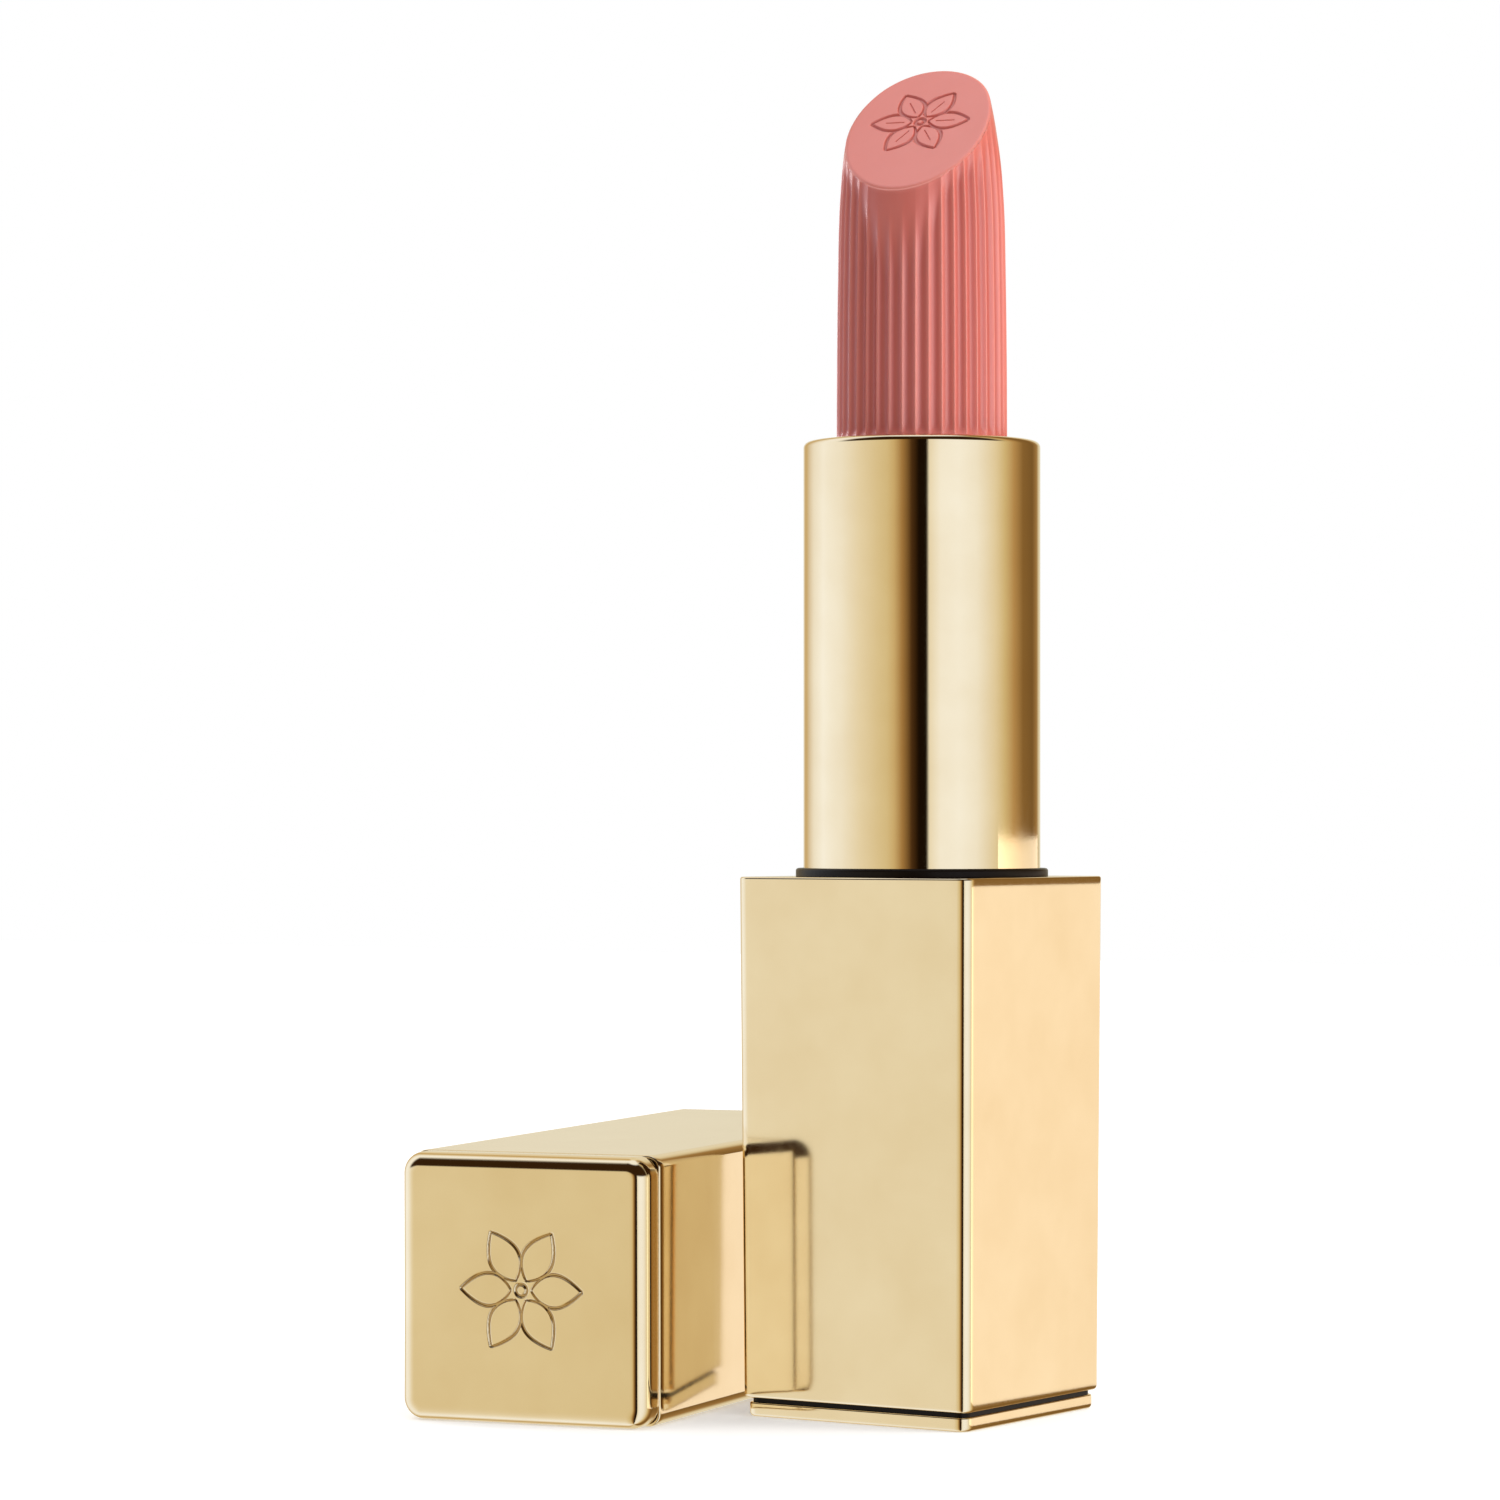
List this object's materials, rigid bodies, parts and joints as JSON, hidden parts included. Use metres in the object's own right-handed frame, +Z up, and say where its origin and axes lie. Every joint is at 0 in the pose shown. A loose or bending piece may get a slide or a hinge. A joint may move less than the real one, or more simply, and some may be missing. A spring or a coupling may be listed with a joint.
{
  "type": "lipstick case",
  "caption": "Square gold lipstick case with a round gold tube, a raised fluted coral stick and its square cap lying beside it.",
  "frame": {"origin": "centre of the base's underside, on the floor", "axes": "+Z up along the tube's axis; X and Y square to the base's sides, the cap lying on the -X side with its closed end towards -Y"},
  "size_m": [0.0477, 0.0526, 0.0958],
  "materials": {
    "gold": "bright gold anodised, softly mirrored",
    "dark_plastic": "near-black moulded",
    "liner_plastic": "off-white moulded",
    "mech_plastic": "natural white moulded",
    "weight_steel": "plain",
    "spring_steel": "bright",
    "seal_rubber": "soft",
    "label_paper": "matt coated paper",
    "lipstick": "satin wax"
  },
  "bodies": {
    "case": {"bottom_plate": "gold", "shade_label": "label_paper", "base_plug": "dark_plastic", "base_sleeve": "gold", "base_liner": "liner_plastic", "base_weight": "weight_steel", "refill_clip": "spring_steel", "collar_ring": "dark_plastic"},
    "refill": {"refill_foot": "mech_plastic", "inner_tube": "mech_plastic", "friction_ring": "seal_rubber"},
    "shell": {"outer_shell": "gold", "cam_sleeve": "mech_plastic", "rim_bushing": "mech_plastic"},
    "carrier": {"carrier_cup": "mech_plastic", "lipstick_bullet": "lipstick"},
    "cap": {"cap_sleeve": "gold", "cap_end": "gold", "cap_core": "dark_plastic", "cap_liner": "liner_plastic", "cap_grip_ring": "seal_rubber"}
  },
  "joints": [
    {"name": "refill_lift", "type": "slide", "parent": "case", "child": "refill", "axis": [0, 0, 1], "range_m": [0, 0.018]},
    {"name": "shell_twist", "type": "hinge", "parent": "refill", "child": "shell", "pos_m": [0, 0, 0.045], "axis": [0, 0, 1], "range_deg": [0, 432]},
    {"name": "cup_rise", "type": "slide", "parent": "refill", "child": "carrier", "axis": [0, 0, 1], "range_m": [-0.02761, 0]},
    {"name": "cap_pull", "type": "slide", "parent": "case", "child": "cap", "axis": [0.1994, -0.9799, 0], "range_m": [0, 0.04]}
  ],
  "couplings": [
    {"joint": "cup_rise", "follows": "shell_twist", "m_per_rad": -0.0036606}
  ]
}
